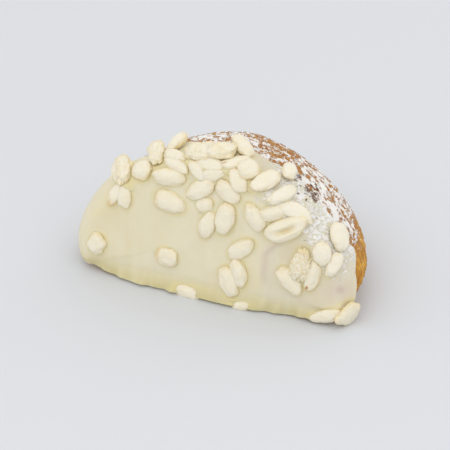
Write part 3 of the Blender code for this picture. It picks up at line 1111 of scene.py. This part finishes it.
def rice_material(settings):
    """Puffed rice: matt cream skin with fine pores, toasted tips, a few bran specks, and painted shade in
    its hollows and on its low side.
    """
    graph = ShaderGraph("puffed_rice")
    end, toast, speck, speck_place, furrow, height, dusted = map(graph.attribute, (
        "end_share", "toast", "speck", "speck_place", "furrow", "height_share", "dusted",
    ))
    cloud = graph.noise(graph.place, 420.0, 3.0, 0.5)
    pores = graph.noise(graph.place, 2300.0, 3.0, 0.6)
    powder = (graph.noise(graph.place, 1300.0, 4.0, 0.65, 0.6) - (0.62 - dusted * 0.12)).ramp(-0.08, 0.12)
    # chocolate film and painted contact shade on the grain's low side
    film_and_contact_shade = 1.0 - (height + cloud * 0.3).ramp(-0.15, 0.88)
    base = graph.layered(
        settings.cream,
        (cloud.ramp(0.42, 0.68) * 0.35, RICE_CLOUD),
        (end.ramp(0.40, 0.95) * toast * cloud.ramp(0.20, 0.60, 0.4, 1.0), settings.toast),
        # painted shade in the grain's seams, pore gaps and furrow
        (furrow * 0.65, RICE_HOLLOW_SHADE),
        # chocolate film and painted contact shade
        (film_and_contact_shade * (0.74 - dusted * 0.3), RICE_FILM_AND_SHADE),
        (powder * dusted * 0.7, RICE_POWDER),
        (speck_place.ramp(0.30, 0.65) * speck, settings.speck),
    )
    normal = graph.bump(pores * 0.4 + cloud, 0.0006, 0.6)
    return graph.finish(base, 0.55, normal, subsurface=0.15, scale=0.0012, radius=(1.0, 0.85, 0.6))


# ---------------- icing sugar

def sugar_tree():
    """Scatters clumps of sugar over a skin, thicker where an attribute says so."""
    graph = GeometryGraph("dusted_sugar", {
        "Density": "Float", "Size": "Float", "Cover": "String", "Seed": "Int",
    })
    entry = graph.entry
    seed = entry.other("Seed")
    cover = graph.attribute(entry.other("Cover"))
    patches = graph.noise(graph.node("GeometryNodeInputPosition"), 640.0, 3.0, 0.6)
    points = graph.node("GeometryNodeDistributePointsOnFaces", {"distribute_method": "RANDOM"}, {
        "Mesh": entry, "Density": cover * patches.ramp(0.46, 0.60, 0.03, 1.0) * entry.other("Density"),
        "Seed": seed,
    })
    clump = graph.node("GeometryNodeMeshIcoSphere", {}, {"Radius": 1.0, "Subdivisions": 1})
    spread = graph.node("FunctionNodeRandomValue", {"data_type": "FLOAT"}, {
        2: 0.35, 3: 1.0, "Seed": seed,
    }, 1)
    turn = graph.node("FunctionNodeRandomValue", {"data_type": "FLOAT_VECTOR"}, {
        0: (0.0, 0.0, 0.0), 1: (math.tau, math.tau, math.tau), "Seed": seed,
    })
    size = spread * spread * entry.other("Size")
    clumps = graph.node("GeometryNodeInstanceOnPoints", {}, {
        "Points": points, "Instance": clump, "Rotation": turn,
        "Scale": graph.joined(size * 1.3, size, size * 0.7),
    })
    return graph.close(clumps)


def sugar_material(settings):
    """Icing sugar: matt and near white, a touch greyer between its grains."""
    graph = ShaderGraph("icing_sugar")
    grain = graph.noise(graph.place, 2600.0, 2.0, 0.5)
    base = graph.mix(grain, settings.white, SHADED_SUGAR)
    normal = graph.bump(grain, 0.0001, 0.5)
    return graph.finish(base, 0.85, normal, subsurface=0.2, scale=0.0004)


# ---------------- operators

class SFOGLIATELLA_OT_bake_leaves(Operator):
    """Make the baked shell with its leaves"""
    bl_idname = "sfogliatella.bake_leaves"
    bl_label = "Bake leaves"

    def execute(self, context):
        settings = context.scene.sfogliatella_leaves
        shell = add_object("baked_leaves", leaf_mesh(ShellForm(settings), settings))
        leaf_tree().settle(shell, Lip=settings.lip, Wander=settings.wander, Seed=settings.seed,
                           Material=crust_material(settings))
        hand_over(shell, "baked_pastry", "pastry_shell")
        return {"FINISHED"}


class SFOGLIATELLA_OT_pour_coat(Operator):
    """Make the white chocolate that the mouth is dipped in"""
    bl_idname = "sfogliatella.pour_coat"
    bl_label = "Pour coat"

    def execute(self, context):
        settings = context.scene.sfogliatella_coat
        coat = add_object("poured_coat", coat_mesh(ShellForm(context.scene.sfogliatella_leaves), settings))
        coat.data.materials.append(coat_material(settings))
        hand_over(coat, "white_chocolate", "chocolate_coat")
        return {"FINISHED"}


class SFOGLIATELLA_OT_sprinkle_rice(Operator):
    """Set the grains of puffed rice in the chocolate, one piece for each kind"""
    bl_idname = "sfogliatella.sprinkle_rice"
    bl_label = "Sprinkle rice"

    def execute(self, context):
        settings = context.scene.sfogliatella_rice
        form = ShellForm(context.scene.sfogliatella_leaves)
        coat = context.scene.sfogliatella_coat
        material = rice_material(settings)
        tree = rice_tree()
        for kind in KERNELS:
            kernels = bpy.data.collections.new(f"kernels_{kind}")
            for variant in range(VARIANTS):
                kernel = kernel_mesh(kind, variant)
                kernels.objects.link(bpy.data.objects.new(kernel.name, kernel))
            piece = add_object(f"rice_{kind}", rice_points(kind, form, coat, settings.sunk))
            tree.settle(piece, Kernels=kernels, Material=material)
            for vert in piece.data.vertices:
                vert.co.z = max(vert.co.z, 0.0)
            piece.data.shade_smooth()
            for kernel in list(kernels.objects):
                bpy.data.objects.remove(kernel)
            bpy.data.collections.remove(kernels)
            hand_over(piece, "puffed_rice")
        return {"FINISHED"}


class SFOGLIATELLA_OT_dust_sugar(Operator):
    """Dust icing sugar over the leaves and the edge of the coat"""
    bl_idname = "sfogliatella.dust_sugar"
    bl_label = "Dust sugar"

    def execute(self, context):
        settings = context.scene.sfogliatella_sugar
        material = sugar_material(settings)
        tree = sugar_tree()
        for name, skin, cover, density in (
            ("sugar_on_leaves", "baked_leaves", "sugar", settings.on_leaves),
            ("sugar_on_coat", "poured_coat", "dust", settings.on_coat),
        ):
            if skin not in bpy.data.objects:
                raise RuntimeError(f"{skin} is made before it is dusted")
            piece = add_object(name, bpy.data.objects[skin].data.copy())
            tree.settle(piece, Density=density, Size=settings.size, Cover=cover, Seed=settings.seed,
                        Material=material)
            hand_over(piece, "icing_sugar")
        return {"FINISHED"}


# Soft lights: name, share of the key light's power, place, tint
LIGHTS = (
    ("key_light", 1.0, (0.05, -0.80, 0.85), (1.0, 0.985, 0.96)),
    ("back_light", 0.4, (0.5, 0.7, 0.7), (1.0, 1.0, 1.0)),
)
LIGHT_SIZE = 0.9
SKY_TINT = (0.985, 0.99, 1.0, 1.0)
FLOOR_SIZE = 4.0
VIEW_POINT = Vector((0.0, -0.0095, 0.025))
VIEW_LEFT = 0.0028  # how far the view's middle lies left of that point, and below it
VIEW_DOWN = 0.0089
NEAR_CLIP = 0.01


def aimed(data, place, target):
    """Puts a light or a camera at a place, turned to a target."""
    thing = bpy.data.objects.new(data.name, data)
    thing.location = place
    thing.rotation_euler = (Vector(target) - Vector(place)).to_track_quat("-Z", "Y").to_euler()
    bpy.context.scene.collection.objects.link(thing)
    return thing


def add_light(name, power, place, target, tint):
    light = bpy.data.lights.new(name, "AREA")
    light.energy = power
    light.size = LIGHT_SIZE
    light.color = tint
    aimed(light, place, target)


def add_camera(settings):
    """A camera at its azimuth, elevation and distance, aimed a little beside the view point."""
    azimuth, elevation = settings.azimuth, settings.elevation
    flat = math.cos(elevation)
    away = Vector((math.sin(azimuth) * flat, -math.cos(azimuth) * flat, math.sin(elevation)))
    right = Vector((math.cos(azimuth), math.sin(azimuth), 0.0))
    target = VIEW_POINT - right * VIEW_LEFT - away.cross(right) * VIEW_DOWN
    camera = bpy.data.cameras.new("camera")
    camera.lens = settings.lens
    camera.clip_start = NEAR_CLIP
    return aimed(camera, target + away * settings.distance, target)


class SFOGLIATELLA_OT_set_stage(Operator):
    """Set the floor, the soft light and the camera"""
    bl_idname = "sfogliatella.set_stage"
    bl_label = "Set stage"

    def execute(self, context):
        settings = context.scene.sfogliatella_stage
        scene = context.scene
        graph = ShaderGraph("table_top")
        cloud = graph.noise(graph.place, 8.0, 2.0, 0.5)
        pale = graph.mix(cloud * 0.3, settings.floor, FLOOR_CLOUD)
        bpy.ops.mesh.primitive_plane_add(size=FLOOR_SIZE, location=(0.0, 0.0, 0.0))
        floor = context.object
        floor.name = "floor"
        floor.data.materials.append(graph.finish(pale, 0.7))
        scene.world = bpy.data.worlds.new("soft_sky")
        scene.world.use_nodes = True
        sky = scene.world.node_tree.nodes["Background"]
        sky.inputs["Color"].default_value = SKY_TINT
        sky.inputs["Strength"].default_value = settings.sky
        middle = (0.0, 0.0, CAD_BOX[1][2] / 2)
        for name, share_of_key, place, tint in LIGHTS:
            add_light(name, settings.key * share_of_key, place, middle, tint)
        scene.camera = add_camera(settings)
        scene.view_settings.view_transform = "Standard"
        return {"FINISHED"}


class SFOGLIATELLA_PT_panel(Panel):
    """Sidebar panel with a button for each group of pieces"""
    bl_idname = "SFOGLIATELLA_PT_panel"
    bl_label = "Sfogliatella"
    bl_space_type = "VIEW_3D"
    bl_region_type = "UI"
    bl_category = "Sfogliatella"

    def draw(self, context):
        for name, group, operator in STEPS:
            box = self.layout.box()
            for setting in group.__annotations__:
                box.prop(getattr(context.scene, name), setting)
            box.operator(operator.bl_idname)


# The name that the settings have on the scene, their group, and the operator that uses them
STEPS = (
    ("sfogliatella_leaves", LeafSettings, SFOGLIATELLA_OT_bake_leaves),
    ("sfogliatella_coat", CoatSettings, SFOGLIATELLA_OT_pour_coat),
    ("sfogliatella_rice", RiceSettings, SFOGLIATELLA_OT_sprinkle_rice),
    ("sfogliatella_sugar", SugarSettings, SFOGLIATELLA_OT_dust_sugar),
    ("sfogliatella_stage", StageSettings, SFOGLIATELLA_OT_set_stage),
)


def register():
    for name, group, operator in STEPS:
        bpy.utils.register_class(group)
        setattr(bpy.types.Scene, name, PointerProperty(type=group))
        bpy.utils.register_class(operator)
    bpy.utils.register_class(SFOGLIATELLA_PT_panel)


def unregister():
    bpy.utils.unregister_class(SFOGLIATELLA_PT_panel)
    for name, group, operator in reversed(STEPS):
        bpy.utils.unregister_class(operator)
        delattr(bpy.types.Scene, name)
        bpy.utils.unregister_class(group)


def main():
    register()
    bpy.ops.sfogliatella.bake_leaves()
    bpy.ops.sfogliatella.pour_coat()
    bpy.ops.sfogliatella.sprinkle_rice()
    bpy.ops.sfogliatella.dust_sugar()
    bpy.ops.sfogliatella.set_stage()


if __name__ == "__main__":
    main()
